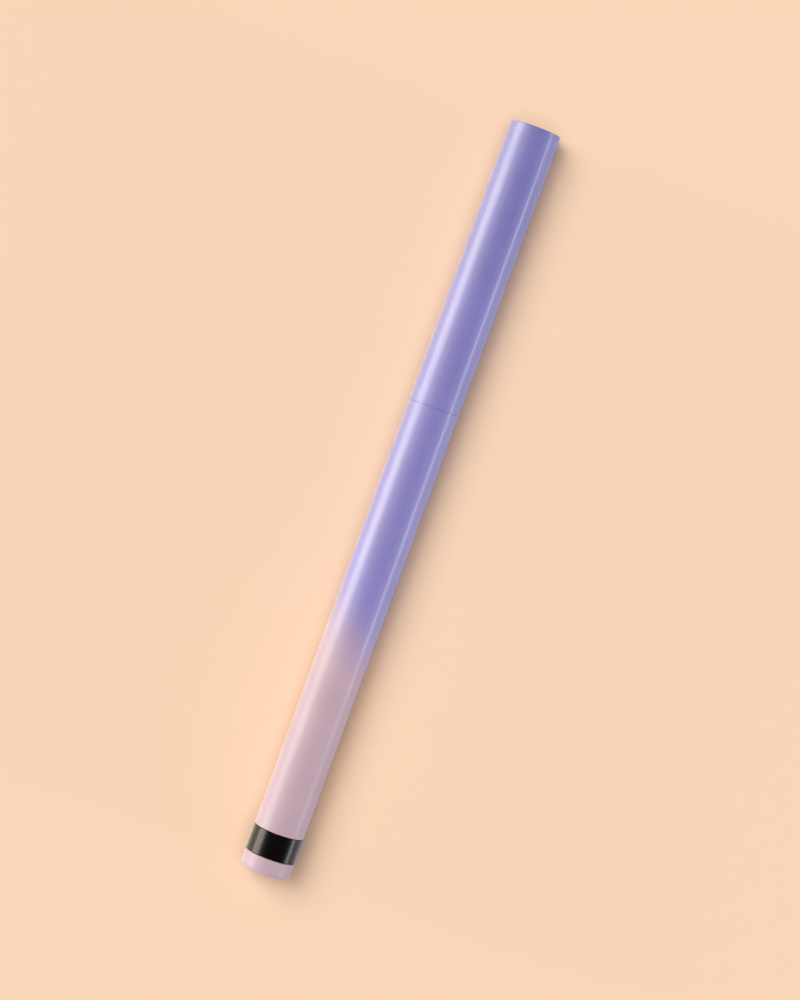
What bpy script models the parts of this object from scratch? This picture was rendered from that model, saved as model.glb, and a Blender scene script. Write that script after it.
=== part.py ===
# Slim twist-up gel eyeliner with a pull-off cap, lying on its side.
# The pen's axis runs along X with the cap towards +X, and the pen rests on z = 0.
# Turning the tail knob turns the spiral sleeve, whose inside spiral moves the lead carrier.
# Each piece is a profile turned about the axis. The radii build outwards from the lead,
# and the lengths build from the tail knob to the cap's end.

from math import cos, floor, pi, radians, sin

import bmesh
import bpy
from mathutils import Matrix, Vector

MM = 0.001

# Faces round a turned piece. Both counts divide by four, so flats face down and sideways.
OUTER_SIDES = 36
INNER_SIDES = 24
SMOOTH_ANGLE = radians(35)
WELD_DISTANCE = 0.0005 * MM

# Clearances
SEAT_GAP = 0.05 * MM
SLIDE_GAP = 0.10 * MM
RUN_GAP = 0.12 * MM
SEAM_GAP = 0.10 * MM
END_GAP = 0.20 * MM
CUT_OVERRUN = 0.50 * MM
ROOT_OVERLAP = 0.20 * MM

# Walls and radii, from the lead outwards
LEAD_RADIUS = 1.00 * MM
CUP_WALL = 0.40 * MM
CARRIER_WALL = 0.30 * MM
GUIDE_WALL = 0.70 * MM
SLEEVE_WALL = 0.86 * MM
BARREL_WALL = 0.80 * MM
CAP_WALL = 0.80 * MM
NECK_CLEARANCE = 0.20 * MM
LINER_WALL = 0.45 * MM
LINER_CLEARANCE = 0.25 * MM
NOSE_CLEARANCE = 0.25 * MM

# Lengths, from the tail to the cap's end
KNOB_LENGTH = 3.00 * MM
RING_WIDTH = 4.50 * MM
BUSH_LENGTH = 6.00 * MM
SHAFT_LENGTH = 29.10 * MM
SLEEVE_SEAT = 3.00 * MM
GUIDE_TAIL = 3.50 * MM
COLLAR_SEAT = 8.00 * MM
NECK_LENGTH = 8.00 * MM
NOSE_LENGTH = 14.00 * MM
TIP_CLEARANCE = 1.30 * MM
LINER_END_WALL = 0.80 * MM
SPRING_SPACE = 4.70 * MM
CAP_END_WALL = 1.50 * MM

# Spiral drive
SPIRAL_PITCH = 3.00 * MM
SPIRAL_TURNS = 7
GROOVE_WIDTH = 1.15 * MM
GROOVE_DEPTH = 0.45 * MM
GROOVE_SPARE_TURNS = 0.25
LUG_DIAMETER = 0.90 * MM
LUG_SIDES = 12
SLOT_WIDTH = 1.10 * MM
SLOT_END_ROOM = 0.15 * MM
SLOT_END_STEPS = 6

# Keys that pass the turning force on
TONGUE_WIDTH = 1.20 * MM
TONGUE_LENGTH = 1.80 * MM
DOG_WIDTH = 1.40 * MM
DOG_LENGTH = 1.20 * MM
KEY_WIDTH = 1.00 * MM
KEY_LENGTH = 1.00 * MM

# Edges and small forms
EDGE_CHAMFER = 0.08 * MM
LEAD_IN = 0.25 * MM
KNOB_ROUNDING = 0.80 * MM
KNOB_ROUNDING_STEPS = 4
KNOB_END_WALL = 2.00 * MM
RING_WALL = 1.00 * MM
SHAFT_PLUG_WALL = 1.25 * MM
JOURNAL_WALL = 1.13 * MM
THRUST_WIDTH = 1.00 * MM
THRUST_HEIGHT = 0.60 * MM
SHAFT_BORE = 1.50 * MM
SHAFT_SOLID_RUN = 1.20 * MM
BUSH_RELIEF_DEPTH = 0.25 * MM
BUSH_LAND = 1.50 * MM
SLEEVE_LIP = 1.60 * MM
CARRIER_TAIL = 2.00 * MM
CARRIER_END_ROOM = 0.30 * MM
CLAW_SLIT_WIDTH = 0.40 * MM
CLAW_SLIT_LENGTH = 4.50 * MM
CUP_LENGTH = 5.80 * MM
CUP_FLOOR = 1.00 * MM
GUIDE_FLANGE_WIDTH = 0.80 * MM
GUIDE_FLANGE_HEIGHT = 0.45 * MM
SPIGOT_WALL = 0.30 * MM
SPIGOT_LENGTH = 3.90 * MM
NOSE_CHAMBER = 2.00 * MM
NOSE_THROAT_TAPER = 0.80 * MM
NOSE_BAND = 1.00 * MM
NOSE_TIP_WALL = 0.40 * MM
NOSE_TIP_ROUNDING = 0.25 * MM
NOSE_CURVE_POWER = 1.6
NOSE_CURVE_STEPS = 7
LEAD_TIP_INSET = 0.30 * MM
LEAD_TIP_ROUNDING = 0.30 * MM
LEAD_TIP_STEPS = 3
NECK_BEAD_WIDTH = 1.20 * MM
NECK_BEAD_HEIGHT = 0.14 * MM
NECK_BEAD_PLACE = 5.40 * MM
NECK_EDGE = 0.35 * MM
CAP_GROOVE_DEPTH = 0.10 * MM
CAP_EDGE = 0.15 * MM
CAP_BEAD_WIDTH = 0.60 * MM
CAP_BEAD_HEIGHT = 0.18 * MM
SEAL_WIDTH = 0.80 * MM
FLANGE_PLACE = 1.05 * MM
FLANGE_WIDTH = 1.00 * MM
BOSS_RADIUS = 1.40 * MM
BOSS_HEIGHT = 1.00 * MM

# Rubber rings
RUBBER_SECTION = 0.60 * MM
RUBBER_REACH_GAP = 0.04 * MM
RUBBER_SIDE_ROOM = 0.10 * MM
RUBBER_SECTION_STEPS = 10
COLLAR_RUBBER_PLACE = 3.90 * MM
NECK_RUBBER_PLACE = 2.10 * MM
DRAG_RUBBER_PLACE = 3.00 * MM

# Cap spring
WIRE_RADIUS = 0.175 * MM
SPRING_TURNS = 5
SPRING_POINTS_PER_TURN = 10
SPRING_SIDE_GAP = 0.15 * MM
SPRING_END_GAP = 0.06 * MM

# Colours as red, green and blue from 0 to 255
LAVENDER = (138, 131, 190)
PALE_PINK = (222, 192, 202)
SHADE_BLACK = (14, 11, 10)
NATURAL_WHITE = (226, 224, 218)
SATIN_GREY = (150, 150, 156)
RUBBER_BLACK = (24, 24, 26)
STEEL = (186, 188, 192)
GEL_BLACK = (9, 8, 9)

# Radii worked out from the walls
cup_bore = LEAD_RADIUS + SEAT_GAP
cup_radius = cup_bore + CUP_WALL
carrier_bore = cup_radius + SEAT_GAP
carrier_radius = carrier_bore + CARRIER_WALL
guide_bore = carrier_radius + SLIDE_GAP
guide_radius = guide_bore + GUIDE_WALL
sleeve_bore = guide_radius + RUN_GAP
sleeve_radius = sleeve_bore + SLEEVE_WALL
groove_radius = sleeve_bore + GROOVE_DEPTH
lug_reach = groove_radius - SLIDE_GAP
barrel_bore = sleeve_radius + RUN_GAP
body_radius = barrel_bore + BARREL_WALL
barrel_seat_radius = barrel_bore - SEAT_GAP
cap_bore = body_radius - CAP_WALL
neck_radius = cap_bore - NECK_CLEARANCE
collar_bore = guide_radius + SEAT_GAP
liner_radius = cap_bore - LINER_CLEARANCE
liner_bore = liner_radius - LINER_WALL
flange_radius = cap_bore - SLIDE_GAP
nose_base_radius = liner_bore - NOSE_CLEARANCE
spigot_radius = guide_bore + SPIGOT_WALL
nose_socket_radius = spigot_radius + SEAT_GAP
nose_bore = LEAD_RADIUS + SLIDE_GAP
nose_tip_radius = nose_bore + NOSE_TIP_WALL
ring_bore = body_radius - RING_WALL
knob_spigot_radius = ring_bore - SEAT_GAP
knob_socket_radius = knob_spigot_radius - SHAFT_PLUG_WALL
shaft_plug_radius = knob_socket_radius - SEAT_GAP
bush_bore = barrel_seat_radius - JOURNAL_WALL
journal_radius = bush_bore - RUN_GAP
thrust_radius = journal_radius + THRUST_HEIGHT
sleeve_plug_radius = sleeve_bore - SEAT_GAP

# Stations along the axis, first counted from the tail end
stroke = SPIRAL_PITCH * SPIRAL_TURNS
lug_step = SPIRAL_PITCH / 2
knob_front = KNOB_LENGTH
ring_rear = knob_front + SEAM_GAP
ring_front = ring_rear + RING_WIDTH
barrel_rear = ring_front + SEAM_GAP
bush_rear = barrel_rear + SEAM_GAP
bush_front = bush_rear + BUSH_LENGTH
thrust_rear = bush_front + SEAM_GAP
thrust_front = thrust_rear + THRUST_WIDTH
sleeve_rear = thrust_front + SHAFT_LENGTH
shaft_front = sleeve_rear + SLEEVE_SEAT
guide_rear = shaft_front + 2 * END_GAP
carrier_rear = guide_rear + GUIDE_TAIL
rear_lug = carrier_rear + CARRIER_TAIL
front_lug = rear_lug + lug_step
sleeve_front = front_lug + stroke + SLEEVE_LIP
guide_flange_rear = sleeve_front + END_GAP
guide_flange_front = guide_flange_rear + GUIDE_FLANGE_WIDTH
collar_rear = guide_flange_front + SEAM_GAP
barrel_front = collar_rear + COLLAR_SEAT
neck_front = barrel_front + NECK_LENGTH
cap_mouth = barrel_front + SEAT_GAP
nose_rear = neck_front + SEAM_GAP
spigot_front = neck_front + SPIGOT_LENGTH
nose_socket_floor = spigot_front + END_GAP
nose_shoulder = nose_socket_floor + NOSE_CHAMBER
nose_tip = nose_rear + NOSE_LENGTH
carrier_front = nose_shoulder - CARRIER_END_ROOM - stroke
cup_front = carrier_front - END_GAP
cup_rear = cup_front - CUP_LENGTH
lead_rear = cup_rear + CUP_FLOOR + SEAT_GAP
lead_tip = nose_tip - LEAD_TIP_INSET
seal_rear = neck_front + SEAM_GAP
liner_rear = seal_rear + SEAL_WIDTH + SEAT_GAP
liner_floor = lead_tip + stroke + TIP_CLEARANCE
liner_front = liner_floor + LINER_END_WALL
cap_ceiling = liner_front + SPRING_SPACE
cap_end = cap_ceiling + CAP_END_WALL
flange_rear = liner_rear + FLANGE_PLACE
cap_bead = flange_rear - END_GAP - CAP_BEAD_WIDTH / 2
neck_bead = barrel_front + NECK_BEAD_PLACE

half_length = cap_end / 2


def along(station):
    """The X of a station, with the pen's middle at x = 0."""
    return station - half_length


def vertex_radius(radius, sides):
    """The radius of the corners of a ring whose flats lie at the given radius."""
    return radius / cos(pi / sides)


def linear(channel):
    """A colour value from 0 to 255 as the linear value that a shader takes."""
    share = channel / 255
    return share / 12.92 if share <= 0.04045 else ((share + 0.055) / 1.055) ** 2.4


def give_finish(piece, colour, roughness, metallic=0.0):
    material = bpy.data.materials.new(piece.name)
    material.use_nodes = True
    shader = material.node_tree.nodes["Principled BSDF"]
    shader.inputs["Base Color"].default_value = (*[linear(c) for c in colour], 1)
    shader.inputs["Roughness"].default_value = roughness
    shader.inputs["Metallic"].default_value = metallic
    piece.data.materials.append(material)


def body_axis(name):
    """An empty on the pen's axis that carries the pieces of one moving body."""
    empty = bpy.data.objects.new(name, None)
    empty.location = (0, 0, body_radius)
    bpy.context.scene.collection.objects.link(empty)
    return empty


def add_piece(name, data, body):
    piece = bpy.data.objects.new(name, data)
    piece.parent = body
    bpy.context.scene.collection.objects.link(piece)
    return piece


def mesh_piece(name, shape, body):
    bmesh.ops.recalc_face_normals(shape, faces=shape.faces)
    mesh = bpy.data.meshes.new(name)
    shape.to_mesh(mesh)
    shape.free()
    mesh.shade_smooth()
    mesh.set_sharp_from_angle(angle=SMOOTH_ANGLE)
    return add_piece(name, mesh, body)


def hide_tool(piece):
    piece.hide_render = True
    piece.display_type = "WIRE"


def turned(name, outline, sides, body):
    """A solid turned from (station, radius) points. The outline is closed, or runs from axis to axis."""
    shape = bmesh.new()
    half_step = Matrix.Rotation(pi / sides, 3, "X")
    corners = []
    for station, radius in outline:
        place = Vector((along(station), 0, vertex_radius(radius, sides)))
        corners.append(shape.verts.new(half_step @ place))
    pairs = list(zip(corners, corners[1:]))
    if outline[0][1] > 0:
        pairs.append((corners[-1], corners[0]))
    lines = [shape.edges.new(pair) for pair in pairs]
    bmesh.ops.spin(
        shape,
        geom=corners + lines,
        cent=(0, 0, 0),
        axis=(1, 0, 0),
        angle=2 * pi,
        steps=sides,
    )
    bmesh.ops.remove_doubles(shape, verts=shape.verts, dist=WELD_DISTANCE)
    return mesh_piece(name, shape, body)


def extruded(name, outline, low, high, body):
    """A prism from (x, y) points, from z = low to z = high."""
    shape = bmesh.new()
    corners = [shape.verts.new((x, y, low)) for x, y in outline]
    face = shape.faces.new(corners)
    raised = bmesh.ops.extrude_face_region(shape, geom=[face])["geom"]
    moved = [item for item in raised if isinstance(item, bmesh.types.BMVert)]
    bmesh.ops.translate(shape, verts=moved, vec=(0, 0, high - low))
    return mesh_piece(name, shape, body)


def block(name, stations, width, heights, body):
    """A block between two stations and two heights over the axis, centred sideways."""
    rear, front = along(stations[0]), along(stations[1])
    outline = [(rear, -width / 2), (front, -width / 2), (front, width / 2), (rear, width / 2)]
    return extruded(name, outline, min(heights), max(heights), body)


def boolean(piece, tool, operation):
    hide_tool(tool)
    modifier = piece.modifiers.new(tool.name, "BOOLEAN")
    modifier.operation = operation
    modifier.solver = "EXACT"
    modifier.object = tool


def round_section(station, radius, section_radius, steps):
    """The closed outline of a ring of round section."""
    outline = []
    for step in range(steps):
        angle = 2 * pi * step / steps
        outline.append((station + section_radius * cos(angle), radius + section_radius * sin(angle)))
    return outline


def rubber_ring_sizes(reach_radius):
    """The ring's middle radius and its groove's floor, for a ring that reaches this far out."""
    middle = reach_radius - RUBBER_REACH_GAP - RUBBER_SECTION / 2
    floor_radius = middle - RUBBER_SECTION / 2 - RUBBER_REACH_GAP
    return middle, floor_radius


def rubber_groove(station, surface_radius, floor_radius):
    """Outline points of the groove that a rubber ring lies in, from tail to cap."""
    half_width = RUBBER_SECTION / 2 + RUBBER_SIDE_ROOM
    return [
        (station - half_width, surface_radius),
        (station - half_width, floor_radius),
        (station + half_width, floor_radius),
        (station + half_width, surface_radius),
    ]


# Tail: knob, shade ring, bush and shaft


def make_tail_knob(body):
    outline = [(0, 0), (0, body_radius - KNOB_ROUNDING)]
    for step in range(1, KNOB_ROUNDING_STEPS + 1):
        angle = pi / 2 * step / KNOB_ROUNDING_STEPS
        station = KNOB_ROUNDING * (1 - cos(angle))
        radius = body_radius - KNOB_ROUNDING * (1 - sin(angle))
        outline.append((station, radius))
    outline += [
        (knob_front - EDGE_CHAMFER, body_radius),
        (knob_front, body_radius - EDGE_CHAMFER),
        (knob_front, knob_spigot_radius),
        (ring_front - LEAD_IN, knob_spigot_radius),
        (ring_front, knob_spigot_radius - LEAD_IN),
        (ring_front, knob_socket_radius),
        (KNOB_END_WALL, knob_socket_radius),
        (KNOB_END_WALL, 0),
    ]
    knob = turned("tail_knob", outline, OUTER_SIDES, body)
    stations = (KNOB_END_WALL - ROOT_OVERLAP, KNOB_END_WALL + TONGUE_LENGTH)
    reach = knob_socket_radius + ROOT_OVERLAP
    tongue = block("drive_tongue", stations, TONGUE_WIDTH, (-reach, reach), body)
    boolean(knob, tongue, "UNION")
    give_finish(knob, PALE_PINK, 0.30)


def make_shade_ring(body):
    outline = [
        (ring_rear, ring_bore),
        (ring_rear, body_radius - EDGE_CHAMFER),
        (ring_rear + EDGE_CHAMFER, body_radius),
        (ring_front - EDGE_CHAMFER, body_radius),
        (ring_front, body_radius - EDGE_CHAMFER),
        (ring_front, ring_bore),
    ]
    ring = turned("shade_ring", outline, OUTER_SIDES, body)
    give_finish(ring, SHADE_BLACK, 0.12)


def make_rear_bush(body):
    relief_radius = barrel_seat_radius - BUSH_RELIEF_DEPTH
    outline = [
        (bush_rear, bush_bore),
        (bush_rear, barrel_seat_radius),
        (bush_rear + BUSH_LAND, barrel_seat_radius),
        (bush_rear + BUSH_LAND, relief_radius),
        (bush_front - BUSH_LAND, relief_radius),
        (bush_front - BUSH_LAND, barrel_seat_radius),
        (bush_front, barrel_seat_radius),
        (bush_front, bush_bore + LEAD_IN),
        (bush_front - LEAD_IN, bush_bore),
    ]
    bush = turned("rear_bush", outline, INNER_SIDES, body)
    give_finish(bush, NATURAL_WHITE, 0.45)


def make_rotor_shaft(body):
    _, groove_floor = rubber_ring_sizes(bush_bore)
    plug_rear = KNOB_END_WALL + SEAM_GAP
    outline = [
        (plug_rear, 0),
        (plug_rear, shaft_plug_radius - LEAD_IN),
        (plug_rear + LEAD_IN, shaft_plug_radius),
        (barrel_rear, shaft_plug_radius),
        (barrel_rear, journal_radius),
    ]
    outline += rubber_groove(bush_rear + DRAG_RUBBER_PLACE, journal_radius, groove_floor)
    outline += [
        (thrust_rear, journal_radius),
        (thrust_rear, thrust_radius),
        (thrust_front, thrust_radius),
        (thrust_front, journal_radius),
        (sleeve_rear - SEAM_GAP - THRUST_WIDTH, journal_radius),
        (sleeve_rear - SEAM_GAP - THRUST_WIDTH, thrust_radius),
        (sleeve_rear - SEAM_GAP, thrust_radius),
        (sleeve_rear - SEAM_GAP, sleeve_plug_radius),
        (shaft_front - LEAD_IN, sleeve_plug_radius),
        (shaft_front, sleeve_plug_radius - LEAD_IN),
        (shaft_front, SHAFT_BORE),
        (thrust_front + SHAFT_SOLID_RUN, SHAFT_BORE),
        (thrust_front + SHAFT_SOLID_RUN, 0),
    ]
    shaft = turned("rotor_shaft", outline, INNER_SIDES, body)
    slot_stations = (plug_rear - CUT_OVERRUN, KNOB_END_WALL + TONGUE_LENGTH + SEAM_GAP)
    slot_reach = shaft_plug_radius + CUT_OVERRUN
    slot_width = TONGUE_WIDTH + 2 * SLIDE_GAP
    slot = block("tongue_slot", slot_stations, slot_width, (-slot_reach, slot_reach), body)
    boolean(shaft, slot, "DIFFERENCE")
    dog_stations = (sleeve_rear - SEAM_GAP - THRUST_WIDTH / 2, sleeve_rear + DOG_LENGTH)
    dog_root = sleeve_plug_radius - ROOT_OVERLAP
    dog_reach = sleeve_radius - SLIDE_GAP
    for side, name in ((1, "upper_dog"), (-1, "lower_dog")):
        dog = block(name, dog_stations, DOG_WIDTH, (side * dog_root, side * dog_reach), body)
        boolean(shaft, dog, "UNION")
    give_finish(shaft, NATURAL_WHITE, 0.40)


def make_rubber_ring(name, station, reach_radius, sides, body):
    middle, _ = rubber_ring_sizes(reach_radius)
    outline = round_section(station, middle, RUBBER_SECTION / 2, RUBBER_SECTION_STEPS)
    ring = turned(name, outline, sides, body)
    give_finish(ring, RUBBER_BLACK, 0.55)


# Spiral sleeve and lead carrier


def groove_cutter(body):
    """A square bar wound inside the sleeve. It is left-handed, so a right-hand turn drives the lead out."""
    spare_steps = floor(GROOVE_SPARE_TURNS * INNER_SIDES)
    steps = SPIRAL_TURNS * INNER_SIDES + INNER_SIDES // 2 + 2 * spare_steps + 1
    inner_radius = vertex_radius(sleeve_bore - CUT_OVERRUN, INNER_SIDES)
    outer_radius = vertex_radius(groove_radius, INNER_SIDES)
    shape = bmesh.new()
    sections = []
    for step in range(steps + 1):
        turns = (step - spare_steps - 0.5) / INNER_SIDES
        angle = pi / 2 - 2 * pi * turns
        middle = along(rear_lug) + SPIRAL_PITCH * turns
        section = []
        for radius, side in ((inner_radius, -1), (outer_radius, -1), (outer_radius, 1), (inner_radius, 1)):
            place = (middle + side * GROOVE_WIDTH / 2, radius * cos(angle), radius * sin(angle))
            section.append(shape.verts.new(place))
        sections.append(section)
    for section, following in zip(sections, sections[1:]):
        for corner in range(4):
            after = (corner + 1) % 4
            shape.faces.new((section[corner], section[after], following[after], following[corner]))
    shape.faces.new(sections[0])
    shape.faces.new(sections[-1])
    return mesh_piece("groove_cutter", shape, body)


def make_spiral_sleeve(body):
    outline = [
        (sleeve_rear, sleeve_bore),
        (sleeve_rear, sleeve_radius - LEAD_IN),
        (sleeve_rear + LEAD_IN, sleeve_radius),
        (sleeve_front - LEAD_IN, sleeve_radius),
        (sleeve_front, sleeve_radius - LEAD_IN),
        (sleeve_front, sleeve_bore),
    ]
    sleeve = turned("spiral_sleeve", outline, INNER_SIDES, body)
    notch_stations = (sleeve_rear - CUT_OVERRUN, sleeve_rear + DOG_LENGTH + SEAM_GAP)
    notch_reach = sleeve_radius + CUT_OVERRUN
    notch_width = DOG_WIDTH + 2 * SLIDE_GAP
    notches = block("dog_notches", notch_stations, notch_width, (-notch_reach, notch_reach), body)
    boolean(sleeve, notches, "DIFFERENCE")
    boolean(sleeve, groove_cutter(body), "DIFFERENCE")
    give_finish(sleeve, SATIN_GREY, 0.40)


def make_lug(name, station, side, body):
    """A round lug that stands out of the carrier, up or down."""
    shape = bmesh.new()
    root = carrier_bore - CARRIER_WALL
    bmesh.ops.create_cone(
        shape,
        cap_ends=True,
        segments=LUG_SIDES,
        radius1=LUG_DIAMETER / 2,
        radius2=LUG_DIAMETER / 2,
        depth=lug_reach - root,
    )
    middle = side * (lug_reach + root) / 2
    bmesh.ops.translate(shape, verts=shape.verts, vec=(along(station), 0, middle))
    return mesh_piece(name, shape, body)


def make_lead_carrier(body):
    socket_floor = cup_rear - SEAM_GAP
    outline = [
        (carrier_rear, 0),
        (carrier_rear, carrier_radius - LEAD_IN),
        (carrier_rear + LEAD_IN, carrier_radius),
        (carrier_front - LEAD_IN, carrier_radius),
        (carrier_front, carrier_radius - LEAD_IN),
        (carrier_front, carrier_bore),
        (socket_floor, carrier_bore),
        (socket_floor, 0),
    ]
    carrier = turned("lead_carrier", outline, INNER_SIDES, body)
    slit_stations = (carrier_front - CLAW_SLIT_LENGTH, carrier_front + CUT_OVERRUN)
    reach = carrier_radius + CUT_OVERRUN
    slit = block("claw_slit", slit_stations, CLAW_SLIT_WIDTH, (-reach, reach), body)
    boolean(carrier, slit, "DIFFERENCE")
    boolean(carrier, make_lug("rear_lug", rear_lug, 1, body), "UNION")
    boolean(carrier, make_lug("front_lug", front_lug, -1, body), "UNION")
    give_finish(carrier, NATURAL_WHITE, 0.45)


def make_lead_cup(body):
    cup_floor = cup_rear + CUP_FLOOR
    outline = [
        (cup_rear, 0),
        (cup_rear, cup_radius),
        (cup_front, cup_radius),
        (cup_front, cup_bore),
        (cup_floor, cup_bore),
        (cup_floor, 0),
    ]
    cup = turned("lead_cup", outline, INNER_SIDES, body)
    give_finish(cup, SATIN_GREY, 0.35)


def make_lead(body):
    outline = [(lead_rear, 0), (lead_rear, LEAD_RADIUS)]
    for step in range(LEAD_TIP_STEPS + 1):
        angle = pi / 2 * step / LEAD_TIP_STEPS
        station = lead_tip - LEAD_TIP_ROUNDING * (1 - sin(angle))
        radius = LEAD_RADIUS - LEAD_TIP_ROUNDING * (1 - cos(angle))
        outline.append((station, radius))
    outline.append((lead_tip, 0))
    lead = turned("lead", outline, INNER_SIDES, body)
    give_finish(lead, GEL_BLACK, 0.50)


# Fixed pieces: barrel, collar, guide tube and nose


def make_barrel_shell(body):
    outline = [
        (barrel_rear, barrel_bore),
        (barrel_rear, body_radius - EDGE_CHAMFER),
        (barrel_rear + EDGE_CHAMFER, body_radius),
        (barrel_front - EDGE_CHAMFER, body_radius),
        (barrel_front, body_radius - EDGE_CHAMFER),
        (barrel_front, barrel_bore),
    ]
    barrel = turned("barrel_shell", outline, OUTER_SIDES, body)
    give_finish(barrel, LAVENDER, 0.28)


def make_front_collar(body):
    _, seat_floor = rubber_ring_sizes(barrel_bore)
    _, neck_floor = rubber_ring_sizes(cap_bore)
    half_bead = NECK_BEAD_WIDTH / 2
    outline = [
        (collar_rear, collar_bore),
        (collar_rear, barrel_seat_radius - LEAD_IN),
        (collar_rear + LEAD_IN, barrel_seat_radius),
    ]
    outline += rubber_groove(collar_rear + COLLAR_RUBBER_PLACE, barrel_seat_radius, seat_floor)
    outline += [(barrel_front, barrel_seat_radius), (barrel_front, neck_radius)]
    outline += rubber_groove(barrel_front + NECK_RUBBER_PLACE, neck_radius, neck_floor)
    outline += [
        (neck_bead - half_bead, neck_radius),
        (neck_bead, neck_radius + NECK_BEAD_HEIGHT),
        (neck_bead + half_bead, neck_radius),
        (neck_front - NECK_EDGE, neck_radius),
        (neck_front, neck_radius - NECK_EDGE),
        (neck_front, collar_bore),
    ]
    collar = turned("front_collar", outline, OUTER_SIDES, body)
    keyway_stations = (collar_rear - CUT_OVERRUN, collar_rear + KEY_LENGTH + SEAM_GAP)
    keyway_reach = guide_radius + GUIDE_FLANGE_HEIGHT + SLIDE_GAP
    keyway_width = KEY_WIDTH + 2 * SLIDE_GAP
    keyways = block("collar_keyways", keyway_stations, keyway_width, (-keyway_reach, keyway_reach), body)
    boolean(collar, keyways, "DIFFERENCE")
    give_finish(collar, PALE_PINK, 0.30)


def make_guide_tube(body):
    outline = [
        (guide_rear, guide_bore),
        (guide_rear, guide_radius),
        (guide_flange_rear, guide_radius),
        (guide_flange_rear, guide_radius + GUIDE_FLANGE_HEIGHT),
        (guide_flange_front, guide_radius + GUIDE_FLANGE_HEIGHT),
        (guide_flange_front, guide_radius),
        (neck_front, guide_radius),
        (neck_front, spigot_radius),
        (spigot_front, spigot_radius),
        (spigot_front, guide_bore),
    ]
    tube = turned("guide_tube", outline, INNER_SIDES, body)
    half_width = SLOT_WIDTH / 2
    first_centre = along(rear_lug) - SLOT_END_ROOM
    last_centre = along(front_lug + stroke) + SLOT_END_ROOM
    slot_outline = []
    for centre, start in ((last_centre, -pi / 2), (first_centre, pi / 2)):
        for step in range(SLOT_END_STEPS + 1):
            angle = start + pi * step / SLOT_END_STEPS
            slot_outline.append((centre + half_width * cos(angle), half_width * sin(angle)))
    reach = guide_radius + CUT_OVERRUN
    slot = extruded("lug_slots", slot_outline, -reach, reach, body)
    boolean(tube, slot, "DIFFERENCE")
    key_stations = (guide_flange_rear + GUIDE_FLANGE_WIDTH / 2, collar_rear + KEY_LENGTH)
    key_root = guide_radius - ROOT_OVERLAP
    key_reach = guide_radius + GUIDE_FLANGE_HEIGHT
    for side, name in ((1, "upper_key"), (-1, "lower_key")):
        key = block(name, key_stations, KEY_WIDTH, (side * key_root, side * key_reach), body)
        boolean(tube, key, "UNION")
    give_finish(tube, NATURAL_WHITE, 0.40)


def make_nose_cone(body):
    curve_rear = nose_rear + NOSE_BAND
    curve_front = nose_tip - NOSE_TIP_ROUNDING
    outline = [(nose_rear, nose_socket_radius), (nose_rear, nose_base_radius)]
    for step in range(NOSE_CURVE_STEPS + 1):
        share = step / NOSE_CURVE_STEPS
        station = curve_rear + (curve_front - curve_rear) * share
        drop = (nose_base_radius - nose_tip_radius) * share**NOSE_CURVE_POWER
        outline.append((station, nose_base_radius - drop))
    outline += [
        (nose_tip, nose_tip_radius - NOSE_TIP_ROUNDING),
        (nose_tip, nose_bore),
        (nose_shoulder + NOSE_THROAT_TAPER, nose_bore),
        (nose_shoulder, guide_bore),
        (nose_socket_floor, guide_bore),
        (nose_socket_floor, nose_socket_radius),
    ]
    nose = turned("nose_cone", outline, INNER_SIDES, body)
    give_finish(nose, SHADE_BLACK, 0.30)


# Cap: shell, liner, seal and spring


def make_cap_shell(body):
    half_bead = CAP_BEAD_WIDTH / 2
    half_groove = NECK_BEAD_WIDTH / 2 + SLIDE_GAP
    outline = [
        (cap_end, 0),
        (cap_end, body_radius - CAP_EDGE),
        (cap_end - CAP_EDGE, body_radius),
        (cap_mouth + EDGE_CHAMFER, body_radius),
        (cap_mouth, body_radius - EDGE_CHAMFER),
        (cap_mouth, cap_bore + LEAD_IN),
        (cap_mouth + LEAD_IN, cap_bore),
        (neck_bead - half_groove, cap_bore),
        (neck_bead, cap_bore + CAP_GROOVE_DEPTH),
        (neck_bead + half_groove, cap_bore),
        (cap_bead - half_bead, cap_bore),
        (cap_bead, cap_bore - CAP_BEAD_HEIGHT),
        (cap_bead + half_bead, cap_bore),
        (cap_ceiling, cap_bore),
        (cap_ceiling, BOSS_RADIUS),
        (cap_ceiling - BOSS_HEIGHT, BOSS_RADIUS),
        (cap_ceiling - BOSS_HEIGHT, 0),
    ]
    cap = turned("cap_shell", outline, OUTER_SIDES, body)
    give_finish(cap, LAVENDER, 0.28)


def make_inner_cap(body):
    band_front = liner_front - FLANGE_WIDTH
    outline = [
        (liner_floor, 0),
        (liner_floor, liner_bore - LEAD_IN),
        (liner_floor - LEAD_IN, liner_bore),
        (liner_rear, liner_bore),
        (liner_rear, liner_radius),
        (flange_rear, liner_radius),
        (flange_rear, flange_radius),
        (flange_rear + FLANGE_WIDTH, flange_radius),
        (flange_rear + FLANGE_WIDTH, liner_radius),
        (band_front - FLANGE_WIDTH, liner_radius),
        (band_front - FLANGE_WIDTH, flange_radius),
        (band_front, flange_radius),
        (band_front, liner_radius),
        (liner_front - LEAD_IN, liner_radius),
        (liner_front, liner_radius - LEAD_IN),
        (liner_front, BOSS_RADIUS),
        (liner_front + BOSS_HEIGHT, BOSS_RADIUS),
        (liner_front + BOSS_HEIGHT, 0),
    ]
    liner = turned("inner_cap", outline, INNER_SIDES, body)
    give_finish(liner, NATURAL_WHITE, 0.45)


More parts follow.
